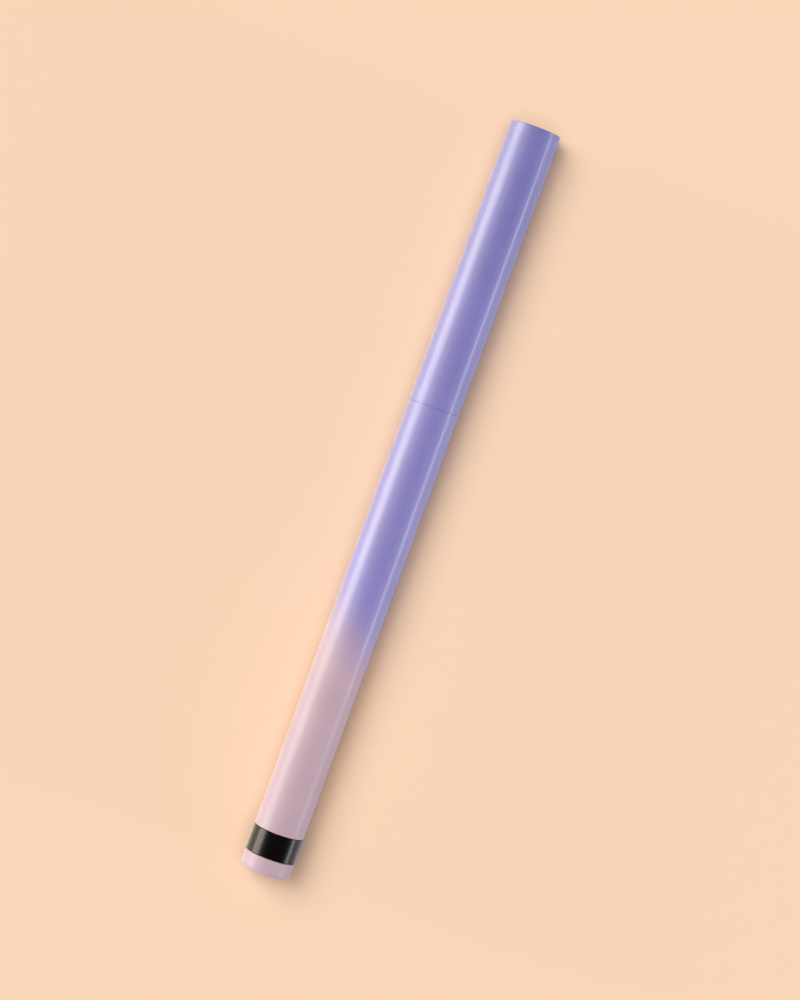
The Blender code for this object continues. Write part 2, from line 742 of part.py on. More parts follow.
def make_inner_cap_seal(body):
    lip = SEAL_WIDTH / 4
    seal_front = seal_rear + SEAL_WIDTH
    outline = [
        (seal_rear, liner_bore + lip / 2),
        (seal_rear, liner_radius - lip / 2),
        (seal_rear + lip, liner_radius),
        (seal_front, liner_radius),
        (seal_front, liner_bore),
        (seal_rear + lip, liner_bore),
    ]
    seal = turned("inner_cap_seal", outline, INNER_SIDES, body)
    give_finish(seal, SATIN_GREY, 0.60)


def least_gap(points, points_per_turn):
    """The least gap between points of the wire that lie more than half a turn apart."""
    gap = half_length
    for first, point in enumerate(points):
        for other in points[first + points_per_turn // 2 + 1 :]:
            gap = min(gap, (point - other).length)
    return gap - 2 * WIRE_RADIUS


def make_cap_spring(body):
    coil_radius = vertex_radius(BOSS_RADIUS, OUTER_SIDES) + SPRING_SIDE_GAP + WIRE_RADIUS
    end_room = SPRING_END_GAP + WIRE_RADIUS
    start = along(liner_front) + end_room
    length = SPRING_SPACE - 2 * end_room
    steps = SPRING_TURNS * SPRING_POINTS_PER_TURN
    points = []
    for step in range(steps + 1):
        angle = 2 * pi * SPRING_TURNS * step / steps
        place = (start + length * step / steps, coil_radius * cos(angle), coil_radius * sin(angle))
        points.append(Vector(place))
    curve = bpy.data.curves.new("cap_spring", "CURVE")
    curve.dimensions = "3D"
    curve.bevel_depth = WIRE_RADIUS
    curve.bevel_resolution = 1
    curve.use_fill_caps = True
    spline = curve.splines.new("POLY")
    spline.points.add(len(points) - 1)
    for spot, point in zip(spline.points, points):
        spot.co = (*point, 1)
    spring = add_piece("cap_spring", curve, body)
    give_finish(spring, STEEL, 0.25, metallic=1.0)
    gap = least_gap(points, SPRING_POINTS_PER_TURN) / MM
    print(f"cap_spring: least gap between its turns {gap:.2f} mm")


for leftover in list(bpy.data.objects):
    bpy.data.objects.remove(leftover)

barrel_axis = body_axis("barrel_axis")
tail_axis = body_axis("tail_axis")
lead_axis = body_axis("lead_axis")
cap_axis = body_axis("cap_axis")
liner_axis = body_axis("liner_axis")

make_barrel_shell(barrel_axis)
make_front_collar(barrel_axis)
make_rubber_ring("collar_o_ring", collar_rear + COLLAR_RUBBER_PLACE, barrel_bore, INNER_SIDES, barrel_axis)
make_rubber_ring("neck_o_ring", barrel_front + NECK_RUBBER_PLACE, cap_bore, OUTER_SIDES, barrel_axis)
make_guide_tube(barrel_axis)
make_nose_cone(barrel_axis)
make_rear_bush(barrel_axis)

make_tail_knob(tail_axis)
make_shade_ring(tail_axis)
make_rotor_shaft(tail_axis)
make_rubber_ring("drag_o_ring", bush_rear + DRAG_RUBBER_PLACE, bush_bore, INNER_SIDES, tail_axis)
make_spiral_sleeve(tail_axis)

make_lead_carrier(lead_axis)
make_lead_cup(lead_axis)
make_lead(lead_axis)

make_cap_shell(cap_axis)
make_cap_spring(cap_axis)

make_inner_cap(liner_axis)
make_inner_cap_seal(liner_axis)
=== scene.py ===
# A slim twist-up gel eyeliner with a pull-off cap, lying on a peach studio floor.
# The pen's axis runs along X with the cap towards +X. The pieces follow the order of
# assembly: barrel, neck, nose, lead, spiral drive, tail, cap, liner, and then the studio.

from math import cos, pi, radians, sin, tan

import bmesh
import bpy
from mathutils import Matrix, Vector


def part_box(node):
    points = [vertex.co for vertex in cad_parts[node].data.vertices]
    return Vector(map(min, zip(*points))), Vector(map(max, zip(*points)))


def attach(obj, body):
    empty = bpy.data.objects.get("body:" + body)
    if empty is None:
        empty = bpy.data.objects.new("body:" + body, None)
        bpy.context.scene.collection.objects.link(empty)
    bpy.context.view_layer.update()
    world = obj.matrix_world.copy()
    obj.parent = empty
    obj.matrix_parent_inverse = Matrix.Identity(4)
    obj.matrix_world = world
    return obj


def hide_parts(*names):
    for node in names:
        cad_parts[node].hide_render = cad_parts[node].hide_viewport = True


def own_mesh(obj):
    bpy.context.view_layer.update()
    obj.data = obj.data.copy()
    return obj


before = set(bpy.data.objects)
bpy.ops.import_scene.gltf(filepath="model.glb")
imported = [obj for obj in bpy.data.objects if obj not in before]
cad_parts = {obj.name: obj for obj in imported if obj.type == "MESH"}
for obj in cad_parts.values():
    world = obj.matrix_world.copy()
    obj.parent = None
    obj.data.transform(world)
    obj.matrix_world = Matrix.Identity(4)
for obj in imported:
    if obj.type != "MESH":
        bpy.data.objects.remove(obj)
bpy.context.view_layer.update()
bpy.ops.object.select_all(action="DESELECT")


# Barrel: an extruded tube, sprayed lavender with the tail half misted over in pale pink,
# then lacquered. The tube is turned to size, with its two ends lightly broken.

MM = 0.001
barrel_low, barrel_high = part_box("barrel_shell")
PEN_RADIUS = (barrel_high.z - barrel_low.z) / 2
AXIS_HEIGHT = PEN_RADIUS
TAIL_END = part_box("tail_knob")[0].x
OUTSIDE_SIDES = 96
BARREL_BORE = 3.70 * MM
BARREL_EDGE = 0.01 * MM
EDGE_STEPS = 3
SMOOTH_ANGLE = radians(32)
RING_REACH = 0.002 * MM


def from_tail(millimetres):
    """The X of a place that lies this many millimetres from the pen's tail end."""
    return TAIL_END + millimetres * MM


def turn(name, profile, sides=OUTSIDE_SIDES, closed=True):
    """Draws a ring out along a profile of (x, radius) points round the pen's axis.

    A closed profile is joined up into a tube, and an open one gets a disc at each end.
    """
    first_x, first_radius = profile[0]
    bpy.ops.mesh.primitive_circle_add(
        vertices=sides,
        radius=first_radius,
        location=(first_x, 0, AXIS_HEIGHT),
        rotation=(0, pi / 2, 0),
    )
    piece = bpy.context.object
    piece.name = piece.data.name = name
    bpy.ops.object.transform_apply(location=True, rotation=True, scale=True)
    bpy.ops.object.mode_set(mode="EDIT")
    bpy.ops.mesh.select_all(action="SELECT")
    for (x, radius), (next_x, next_radius) in zip(profile, profile[1:]):
        bpy.ops.mesh.extrude_region_move(TRANSFORM_OT_translate={"value": (next_x - x, 0, 0)})
        growth = next_radius / radius
        bpy.ops.transform.resize(
            value=(1, growth, growth), center_override=(next_x, 0, AXIS_HEIGHT)
        )
    bpy.ops.mesh.select_all(action="DESELECT")
    bpy.ops.mesh.select_non_manifold()
    if closed:
        bpy.ops.mesh.bridge_edge_loops()
    else:
        bpy.ops.mesh.fill_holes(sides=0)
    bpy.ops.mesh.select_all(action="SELECT")
    bpy.ops.mesh.normals_make_consistent(inside=False)
    bpy.ops.object.mode_set(mode="OBJECT")
    return piece


def off_axis(corner):
    """How far a corner of a mesh lies from the pen's axis."""
    return Vector((corner.co.y, corner.co.z - AXIS_HEIGHT)).length


def round_ring(piece, x, radius, width, steps=EDGE_STEPS):
    """Rounds the ring of edges that lies at x with this radius."""
    bpy.ops.object.mode_set(mode="EDIT")
    bpy.ops.mesh.select_mode(type="EDGE")
    bpy.ops.mesh.select_all(action="DESELECT")
    mesh = bmesh.from_edit_mesh(piece.data)
    for edge in mesh.edges:
        edge.select = all(
            abs(corner.co.x - x) < RING_REACH and abs(off_axis(corner) - radius) < RING_REACH
            for corner in edge.verts
        )
    bmesh.update_edit_mesh(piece.data)
    bpy.ops.mesh.bevel(offset=width, segments=steps, affect="EDGES")
    bpy.ops.mesh.select_mode(type="VERT")
    bpy.ops.object.mode_set(mode="OBJECT")


def pick(piece):
    """Makes a piece the only one selected, and the active one."""
    bpy.ops.object.select_all(action="DESELECT")
    piece.select_set(True)
    bpy.context.view_layer.objects.active = piece


def smooth(piece):
    """Shades a finished piece smooth, with normals that keep its wide faces flat."""
    pick(piece)
    bpy.ops.object.shade_smooth_by_angle(angle=SMOOTH_ANGLE)
    weighting = piece.modifiers.new("wide_faces_first", "WEIGHTED_NORMAL")
    weighting.keep_sharp = True
    bpy.ops.object.modifier_apply(modifier=weighting.name)


def start_material(name):
    """A new material, with its node tree and its shader."""
    material = bpy.data.materials.new(name)
    material.use_nodes = True
    return material, material.node_tree, material.node_tree.nodes["Principled BSDF"]


def paint(red, green, blue):
    """A colour from its sRGB values of 0 to 255, as a shader takes it."""
    shares = [value / 255 for value in (red, green, blue)]
    return (*[s / 12.92 if s <= 0.04045 else ((s + 0.055) / 1.055) ** 2.4 for s in shares], 1)


def add_node(tree, kind, inputs=None, **settings):
    """Adds a shader node. An input is a value, or the socket of another node."""
    made = tree.nodes.new(kind)
    for name, value in settings.items():
        setattr(made, name, value)
    for place, value in (inputs or {}).items():
        if isinstance(value, bpy.types.NodeSocket):
            tree.links.new(value, made.inputs[place])
        else:
            made.inputs[place].default_value = value
    return made


def pen_space(tree, stretch=(1, 1, 1)):
    """The place on the pen in metres from its axis, stretched along each direction."""
    place = add_node(tree, "ShaderNodeTexCoord").outputs["Object"]
    inputs = {"Vector": place, "Location": (0, 0, -AXIS_HEIGHT * stretch[2]), "Scale": stretch}
    return add_node(tree, "ShaderNodeMapping", inputs).outputs[0]


def axes(tree):
    """The X, Y and Z of the place on the pen."""
    return add_node(tree, "ShaderNodeSeparateXYZ", {0: pen_space(tree)}).outputs


NOISE_CORE = (0.3, 0.7)
NOISE_SPAN = (0.2, 0.8)


def noise(tree, place, scale, detail=2.0):
    """The value of a noise with this many bumps to the metre.

    Most of its values lie in NOISE_CORE, and nearly all in NOISE_SPAN.
    """
    inputs = {"Vector": place, "Scale": scale, "Detail": detail}
    return add_node(tree, "ShaderNodeTexNoise", inputs).outputs["Fac"]


def remap(tree, value, low, high, to_low=0.0, to_high=1.0, kind="LINEAR"):
    """The value carried from one range to another, and held at its ends."""
    inputs = {
        "Value": value,
        "From Min": low,
        "From Max": high,
        "To Min": to_low,
        "To Max": to_high,
    }
    return add_node(tree, "ShaderNodeMapRange", inputs, interpolation_type=kind).outputs[0]


def combine(tree, operation, first, second):
    """Two values, or sockets, put together by a Math node."""
    inputs = {0: first, 1: second}
    return add_node(tree, "ShaderNodeMath", inputs, operation=operation).outputs[0]


def mix_paint(tree, share, first, second, blend="MIX"):
    """The second colour laid over the first with this share, as the blend says."""
    # A Mix node has its colours here, behind the sockets for values and vectors.
    inputs = {0: share, 6: first, 7: second}
    made = add_node(tree, "ShaderNodeMix", inputs, data_type="RGBA", blend_type=blend)
    return made.outputs[2]


def raise_surface(tree, shader, height, strength, distance):
    """Lets a height show in the shader's normal, as relief of this depth in metres."""
    inputs = {"Strength": strength, "Distance": distance, "Height": height}
    bump = add_node(tree, "ShaderNodeBump", inputs)
    tree.links.new(bump.outputs["Normal"], shader.inputs["Normal"])


def effect(name, inputs, outputs):
    """A node group, with the sockets that carry its values in and its results out."""
    group = bpy.data.node_groups.new(name, "ShaderNodeTree")
    for label, value in inputs.items():
        socket = group.interface.new_socket(label, in_out="INPUT", socket_type="NodeSocketFloat")
        socket.default_value = value
    for label in outputs:
        group.interface.new_socket(label, in_out="OUTPUT", socket_type="NodeSocketFloat")
    start = group.nodes.new("NodeGroupInput")
    end = group.nodes.new("NodeGroupOutput")
    return group, start.outputs, end.inputs


def use_effect(tree, group, **inputs):
    """Places a node group in a material and gives its outputs."""
    values = {label.replace("_", " "): value for label, value in inputs.items()}
    return add_node(tree, "ShaderNodeGroup", values, node_tree=group).outputs


# Sprayed lacquer: a soft waviness of the flow, fine dry mist, clouds where the spray lay
# thin or thick, and a rare dust nib. Each has so many bumps to the metre.
FLOW_WAVES = 420.0
MIST_SPECKS = 9000.0
SPRAY_CLOUDS = 90.0
DUST_NIBS = 220.0
NIB_REACH = 0.035
NIB_HEIGHT = 0.6

sprayed_flow, given, made = effect(
    "sprayed_flow", {"Waves per Metre": FLOW_WAVES}, ("Height", "Mist", "Cloud")
)
place = pen_space(sprayed_flow)
waves = noise(sprayed_flow, place, given["Waves per Metre"], detail=1.0)
mist = noise(sprayed_flow, place, MIST_SPECKS)
cloud = noise(sprayed_flow, place, SPRAY_CLOUDS, detail=3.0)
cells = add_node(sprayed_flow, "ShaderNodeTexVoronoi", {"Vector": place, "Scale": DUST_NIBS})
distance = cells.outputs["Distance"]
nib = remap(sprayed_flow, distance, 0.0, NIB_REACH, NIB_HEIGHT, 0.0, "SMOOTHSTEP")
sprayed_flow.links.new(combine(sprayed_flow, "ADD", waves, nib), made["Height"])
sprayed_flow.links.new(mist, made["Mist"])
sprayed_flow.links.new(cloud, made["Cloud"])

# Handling marks: hairlines that run along and round the pen, and the blur of fingertips.
# The lines have so many bumps to the metre in each direction. A mark shows where its noise
# rises from the first value to the second.
LINES_ALONG = (60, 4200, 4200)
LINES_AROUND = (5200, 90, 90)
FINGER_MARKS = 140.0
ALONG_SHOWS = (0.62, 0.75)
AROUND_SHOWS = (0.64, 0.78)
FINGERS_SHOW = (0.48, 0.75)
HAIRLINE_STRENGTH = 0.5

handling_marks, given, made = effect("handling_marks", {"Amount": 1.0}, ("Gloss Loss",))
along = noise(handling_marks, pen_space(handling_marks, LINES_ALONG), 1.0)
around = noise(handling_marks, pen_space(handling_marks, LINES_AROUND), 1.0)
fingers = noise(handling_marks, pen_space(handling_marks), FINGER_MARKS, detail=4.0)
hairlines = combine(
    handling_marks,
    "ADD",
    remap(handling_marks, along, *ALONG_SHOWS, 0.0, HAIRLINE_STRENGTH),
    remap(handling_marks, around, *AROUND_SHOWS, 0.0, HAIRLINE_STRENGTH),
)
smudges = remap(handling_marks, fingers, *FINGERS_SHOW)
marks = combine(handling_marks, "ADD", hairlines, smudges)
loss = combine(handling_marks, "MULTIPLY", marks, given["Amount"])
handling_marks.links.new(loss, made["Gloss Loss"])

CLEAR_WEIGHT = 0.34
MISTED_WEIGHT = 0.20
CLEAR_ROUGHNESS = 0.19
LACQUER_MARKS = 0.10
LACQUER_RIPPLE = 0.012
LACQUER_RIPPLE_HEIGHT = 0.010 * MM
PEARL_INDEX = 1.72
PEARL_ROUGHNESS = 0.60
MISTED_ROUGHNESS = 0.75
PEARL_GRAIN = 0.05
PEARL_POWDER = 0.8


def lay_lacquer(tree, shader, flow, colour, weight, roughness):
    """Lays a pearl colour on a shader, and over it a clear coat dulled by handling.

    The weight of the coat and the roughness of the pearl are values or sockets. The
    roughness varies a little with the grain of the spray.
    """
    tree.links.new(colour, shader.inputs["Base Color"])
    shader.inputs["IOR"].default_value = PEARL_INDEX
    shader.inputs["Diffuse Roughness"].default_value = PEARL_POWDER
    grain = remap(tree, flow["Mist"], *NOISE_CORE, -PEARL_GRAIN, PEARL_GRAIN)
    tree.links.new(combine(tree, "ADD", grain, roughness), shader.inputs["Roughness"])
    marks = use_effect(tree, handling_marks, Amount=LACQUER_MARKS)["Gloss Loss"]
    tree.links.new(combine(tree, "SUBTRACT", weight, marks), shader.inputs["Coat Weight"])
    shader.inputs["Coat Roughness"].default_value = CLEAR_ROUGHNESS
    raise_surface(tree, shader, flow["Height"], LACQUER_RIPPLE, LACQUER_RIPPLE_HEIGHT)


LIGHT_LAVENDER = paint(145, 134, 202)
LAVENDER = paint(136, 126, 195)
DEEP_LAVENDER = paint(125, 118, 190)
PALE_PINK = paint(200, 169, 182)
MOULDING = paint(214, 210, 222)
MIST_START = from_tail(37.5)
MIST_END = from_tail(52.5)
MIST_WANDER = 1.6 * MM
MIST_GRAIN = 2.2 * MM
MIST_SLANT = 0.75
CLOUD_DEPTH = 0.05
INSIDE_REACH = 4.25 * MM
INSIDE_BLEND = 0.10 * MM
BORE_MARGIN = 1.00 * MM


def cloud_paint(tree, flow, colour):
    """The colour, a little lighter and darker where the spray lay thin or thick."""
    tone = remap(tree, flow["Cloud"], *NOISE_CORE, 1 - CLOUD_DEPTH, 1 + CLOUD_DEPTH)
    shade = add_node(tree, "ShaderNodeCombineColor", {0: tone, 1: tone, 2: tone})
    return mix_paint(tree, 1.0, colour, shade.outputs[0], "MULTIPLY")


def outside_only(tree, sprayed, bare, bore_end):
    """The sprayed colour outside, and bare plastic in the bore that the spray can't reach."""
    inputs = {0: pen_space(tree), 1: (0, 1, 1)}
    across = add_node(tree, "ShaderNodeVectorMath", inputs, operation="MULTIPLY").outputs[0]
    length = add_node(tree, "ShaderNodeVectorMath", {0: across}, operation="LENGTH")
    radius = length.outputs["Value"]
    within = remap(tree, radius, INSIDE_REACH - INSIDE_BLEND, INSIDE_REACH, 1.0, 0.0)
    behind = combine(tree, "LESS_THAN", axes(tree)["X"], bore_end)
    return mix_paint(tree, combine(tree, "MULTIPLY", within, behind), sprayed, bare)


ombre_lacquer, tree, shader = start_material("ombre_lacquer")
flow = use_effect(tree, sprayed_flow)
split = axes(tree)
wander = remap(tree, flow["Cloud"], *NOISE_SPAN, -MIST_WANDER, MIST_WANDER)
grain = remap(tree, flow["Mist"], *NOISE_SPAN, -MIST_GRAIN, MIST_GRAIN)
slant = combine(tree, "MULTIPLY", split["Y"], -MIST_SLANT)
shift = combine(tree, "ADD", combine(tree, "ADD", wander, grain), slant)
edge = combine(tree, "ADD", split["X"], shift)
lavender_share = remap(tree, edge, MIST_START, MIST_END, kind="SMOOTHSTEP")
depth = remap(tree, split["X"], MIST_END, barrel_high.x)
lavender = mix_paint(tree, depth, LIGHT_LAVENDER, LAVENDER)
sprayed = cloud_paint(tree, flow, mix_paint(tree, lavender_share, PALE_PINK, lavender))
colour = outside_only(tree, sprayed, MOULDING, barrel_high.x + BORE_MARGIN)
weight = remap(tree, lavender_share, 0.0, 1.0, MISTED_WEIGHT, CLEAR_WEIGHT)
roughness = remap(tree, lavender_share, 0.0, 1.0, MISTED_ROUGHNESS, PEARL_ROUGHNESS)
lay_lacquer(tree, shader, flow, colour, weight, roughness)

barrel = turn(
    "barrel_tube",
    [
        (barrel_low.x, BARREL_BORE),
        (barrel_low.x, PEN_RADIUS),
        (barrel_high.x, PEN_RADIUS),
        (barrel_high.x, BARREL_BORE),
    ],
)
for end in (barrel_low.x, barrel_high.x):
    round_ring(barrel, end, PEN_RADIUS, BARREL_EDGE)
    round_ring(barrel, end, BARREL_BORE, BARREL_EDGE)
smooth(barrel)
barrel.data.materials.append(ombre_lacquer)
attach(barrel, "barrel")
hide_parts("barrel_shell")


# Neck: a moulded collar pressed into the barrel. It carries the bead that the cap snaps
# over, and a rubber ring in each of its two grooves, one inside the barrel and one outside.

COLLAR_BORE = 2.65 * MM
COLLAR_SEAT_RADIUS = 3.65 * MM
NECK_RADIUS = 3.50 * MM
RUBBER_FLOOR = 3.02 * MM
RUBBER_HALF_GROOVE = 0.40 * MM
SEAT_RUBBER_PLACE = from_tail(82.0)
NECK_RUBBER_PLACE = from_tail(88.2)
NECK_BEAD_PLACE = from_tail(91.5)
NECK_BEAD_REACH = 0.60 * MM
NECK_BEAD_HEIGHT = 0.14 * MM
NECK_BEAD_ROUNDING = 0.30 * MM
COLLAR_LEAD_IN = 0.25 * MM
NECK_EDGE = 0.35 * MM
FINE_EDGE = 0.05 * MM
ROUND_STEPS = 4


def rubber_groove(place, surface):
    """The profile of a groove that a rubber ring lies in."""
    return [
        (place - RUBBER_HALF_GROOVE, surface),
        (place - RUBBER_HALF_GROOVE, RUBBER_FLOOR),
        (place + RUBBER_HALF_GROOVE, RUBBER_FLOOR),
        (place + RUBBER_HALF_GROOVE, surface),
    ]


def join_block(piece, operation, stations, width, height):
    """Cuts a block that crosses the pen's axis from a piece, or joins it on."""
    rear, front = stations
    bpy.ops.mesh.primitive_cube_add(
        size=1,
        location=((rear + front) / 2, 0, AXIS_HEIGHT),
        scale=(front - rear, width, height),
    )
    tool = bpy.context.object
    bpy.ops.object.transform_apply(location=True, rotation=True, scale=True)
    pick(piece)
    joining = piece.modifiers.new("block", "BOOLEAN")
    joining.operation = operation
    joining.solver = "EXACT"
    joining.object = tool
    bpy.ops.object.modifier_apply(modifier=joining.name)
    bpy.data.objects.remove(tool)


KEYWAY_WIDTH = 1.20 * MM
KEYWAY_SPREAD = 6.30 * MM
KEYWAY_END = from_tail(79.2)
CUT_OVERRUN = 1.00 * MM

collar_low, collar_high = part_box("front_collar")
shoulder = barrel_high.x
collar = turn(
    "neck_collar",
    [
        (collar_low.x, COLLAR_BORE),
        (collar_low.x, COLLAR_SEAT_RADIUS - COLLAR_LEAD_IN),
        (collar_low.x + COLLAR_LEAD_IN, COLLAR_SEAT_RADIUS),
        *rubber_groove(SEAT_RUBBER_PLACE, COLLAR_SEAT_RADIUS),
        (shoulder, COLLAR_SEAT_RADIUS),
        (shoulder, NECK_RADIUS),
        *rubber_groove(NECK_RUBBER_PLACE, NECK_RADIUS),
        (NECK_BEAD_PLACE - NECK_BEAD_REACH, NECK_RADIUS),
        (NECK_BEAD_PLACE, NECK_RADIUS + NECK_BEAD_HEIGHT),
        (NECK_BEAD_PLACE + NECK_BEAD_REACH, NECK_RADIUS),
        (collar_high.x, NECK_RADIUS),
        (collar_high.x, COLLAR_BORE),
    ],
)
round_ring(collar, collar_high.x, NECK_RADIUS, NECK_EDGE)
round_ring(collar, collar_high.x, COLLAR_BORE, FINE_EDGE)
bead_radius = NECK_RADIUS + NECK_BEAD_HEIGHT
round_ring(collar, NECK_BEAD_PLACE, bead_radius, NECK_BEAD_ROUNDING, ROUND_STEPS)
for side in (-1, 1):
    round_ring(collar, NECK_RUBBER_PLACE + side * RUBBER_HALF_GROOVE, NECK_RADIUS, FINE_EDGE)
keyways = (collar_low.x - CUT_OVERRUN, KEYWAY_END)
join_block(collar, "DIFFERENCE", keyways, KEYWAY_WIDTH, KEYWAY_SPREAD)
smooth(collar)

# Moulded skin: the fine grain, faint flow lines and duller patches of plastic or rubber as
# it leaves the mould, each with so many bumps to the metre.
PLASTIC_GRAINS = 6000.0
RUBBER_GRAINS = 9000.0
FLOW_LINES = (120, 900, 900)
FLOW_LINES_SHOW = (0.25, 0.75)
DULL_PATCHES = 500.0
DULL_PATCH_DEPTH = 0.12
GRAIN_HEIGHT = 0.02 * MM

moulded_skin, given, made = effect(
    "moulded_skin", {"Grains per Metre": PLASTIC_GRAINS}, ("Height", "Shade", "Gloss Loss")
)
place = pen_space(moulded_skin)
grain = noise(moulded_skin, place, given["Grains per Metre"], detail=3.0)
flow_lines = noise(moulded_skin, pen_space(moulded_skin, FLOW_LINES), 1.0, detail=3.0)
patches = noise(moulded_skin, place, DULL_PATCHES, detail=3.0)
gloss_loss = remap(moulded_skin, patches, *NOISE_CORE, 0.0, DULL_PATCH_DEPTH)
moulded_skin.links.new(grain, made["Height"])
moulded_skin.links.new(remap(moulded_skin, flow_lines, *FLOW_LINES_SHOW), made["Shade"])
moulded_skin.links.new(gloss_loss, made["Gloss Loss"])


def moulded(name, colour, second, roughness, relief, grains=PLASTIC_GRAINS):
    """Plastic or rubber in two near tones, as moulded."""
    material, tree, shader = start_material(name)
    skin = use_effect(tree, moulded_skin, Grains_per_Metre=grains)
    tree.links.new(mix_paint(tree, skin["Shade"], colour, second), shader.inputs["Base Color"])
    dulled = combine(tree, "ADD", skin["Gloss Loss"], roughness)
    tree.links.new(dulled, shader.inputs["Roughness"])
    raise_surface(tree, shader, skin["Height"], relief, GRAIN_HEIGHT)
    return material


pink_plastic = moulded(
    "pink_plastic", paint(216, 186, 196), paint(206, 174, 186), roughness=0.24, relief=0.05
)
collar.data.materials.append(pink_plastic)
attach(collar, "barrel")
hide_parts("front_collar")

RUBBER_RADIUS = 0.30 * MM
RUBBER_SIDES = 24
FLASH_GROWTH = 1.003
black_rubber = moulded(
    "black_rubber",
    paint(30, 30, 32),
    paint(20, 20, 22),
    roughness=0.48,
    relief=0.25,
    grains=RUBBER_GRAINS,
)


def rubber_ring(name, place, middle_radius, body, node, sides=OUTSIDE_SIDES):
    """A moulded rubber ring, with the fine flash line where the two mould halves met.

    It rides on a body and takes the place of a node.
    """
    bpy.ops.mesh.primitive_torus_add(
        location=(place, 0, AXIS_HEIGHT),
        rotation=(0, pi / 2, 0),
        major_segments=sides,
        minor_segments=RUBBER_SIDES,
        major_radius=middle_radius,
        minor_radius=RUBBER_RADIUS,
    )
    ring = bpy.context.object
    ring.name = ring.data.name = name
    bpy.ops.object.transform_apply(location=True, rotation=True, scale=True)
    bpy.ops.object.mode_set(mode="EDIT")
    bpy.ops.mesh.select_all(action="DESELECT")
    mesh = bmesh.from_edit_mesh(ring.data)
    rim = middle_radius + RUBBER_RADIUS - RING_REACH
    for corner in mesh.verts:
        corner.select = off_axis(corner) > rim
    mesh.select_flush(True)
    bmesh.update_edit_mesh(ring.data)
    bpy.ops.transform.resize(
        value=(1, FLASH_GROWTH, FLASH_GROWTH), center_override=(place, 0, AXIS_HEIGHT)
    )
    bpy.ops.object.mode_set(mode="OBJECT")
    smooth(ring)
    ring.data.materials.append(black_rubber)
    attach(ring, body)
    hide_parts(node)


SEAL_RADIUS = 3.36 * MM
rubber_ring("barrel_seal_ring", SEAT_RUBBER_PLACE, SEAL_RADIUS, "barrel", "collar_o_ring")
rubber_ring("neck_seal_ring", NECK_RUBBER_PLACE, SEAL_RADIUS, "barrel", "neck_o_ring")


# Nose: a tapered moulding pushed over the front of the slotted guide tube. The lead comes
# out of its rounded tip. The guide tube holds the lead carrier straight.

NOSE_SIDES = 72
NOSE_SOCKET_RADIUS = 2.25 * MM
NOSE_BASE_RADIUS = 2.75 * MM
NOSE_TIP_RADIUS = 1.50 * MM
NOSE_BORE = 1.10 * MM
NOSE_CHAMBER_RADIUS = 1.90 * MM
NOSE_BAND = 1.00 * MM
NOSE_CURVE_POWER = 1.6
NOSE_CURVE_STEPS = 24
NOSE_TIP_EDGE = 0.25 * MM
NOSE_TIP_STEPS = 5
NOSE_SOCKET_DEPTH = 4.00 * MM
NOSE_CHAMBER_LENGTH = 2.00 * MM
NOSE_THROAT_TAPER = 0.80 * MM

nose_low, nose_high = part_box("nose_cone")
curve_start = nose_low.x + NOSE_BAND
taper = []
for step in range(NOSE_CURVE_STEPS + 1):
    share = step / NOSE_CURVE_STEPS
    drop = (NOSE_BASE_RADIUS - NOSE_TIP_RADIUS) * share**NOSE_CURVE_POWER
    taper.append((curve_start + (nose_high.x - curve_start) * share, NOSE_BASE_RADIUS - drop))
socket_floor = nose_low.x + NOSE_SOCKET_DEPTH
chamber_end = socket_floor + NOSE_CHAMBER_LENGTH
nose = turn(
    "tapered_nose",
    [
        (nose_low.x, NOSE_SOCKET_RADIUS),
        (nose_low.x, NOSE_BASE_RADIUS),
        *taper,
        (nose_high.x, NOSE_BORE),
        (chamber_end + NOSE_THROAT_TAPER, NOSE_BORE),
        (chamber_end, NOSE_CHAMBER_RADIUS),
        (socket_floor, NOSE_CHAMBER_RADIUS),
        (socket_floor, NOSE_SOCKET_RADIUS),
    ],
    NOSE_SIDES,
)
round_ring(nose, nose_high.x, NOSE_TIP_RADIUS, NOSE_TIP_EDGE, NOSE_TIP_STEPS)
round_ring(nose, nose_high.x, NOSE_BORE, FINE_EDGE)
round_ring(nose, nose_low.x, NOSE_BASE_RADIUS, FINE_EDGE)
smooth(nose)

PIANO_BLACK = paint(10, 8, 7)
DEEP_BLACK = paint(6, 5, 4)
POLISHED_ROUGHNESS = 0.24
POLISHED_SPECULAR = 0.27
POLISHED_TINT = (1.0, 0.90, 0.98, 1)
POLISHED_MARKS = 0.05
POLISHED_GRAINS = 2500.0
POLISHED_RELIEF = 0.01
POLISHED_RELIEF_HEIGHT = 0.01 * MM

gloss_black, tree, shader = start_material("gloss_black")
marks = use_effect(tree, handling_marks, Amount=POLISHED_MARKS)["Gloss Loss"]
skin = use_effect(tree, moulded_skin, Grains_per_Metre=POLISHED_GRAINS)
colour = mix_paint(tree, skin["Shade"], PIANO_BLACK, DEEP_BLACK)
tree.links.new(colour, shader.inputs["Base Color"])
tree.links.new(combine(tree, "ADD", marks, POLISHED_ROUGHNESS), shader.inputs["Roughness"])
shader.inputs["Specular IOR Level"].default_value = POLISHED_SPECULAR
shader.inputs["Specular Tint"].default_value = POLISHED_TINT
raise_surface(tree, shader, skin["Height"], POLISHED_RELIEF, POLISHED_RELIEF_HEIGHT)
nose.data.materials.append(gloss_black)
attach(nose, "barrel")
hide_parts("nose_cone")


# Lead: a stick of black gel, cast in its cup and pushed out of the nose by the carrier.
# The gel is waxy, with fine draw lines along it and a rounded tip.

LEAD_SIDES = 48
LEAD_RADIUS = 1.00 * MM
LEAD_TIP_EDGE = 0.30 * MM
LEAD_TIP_STEPS = 6

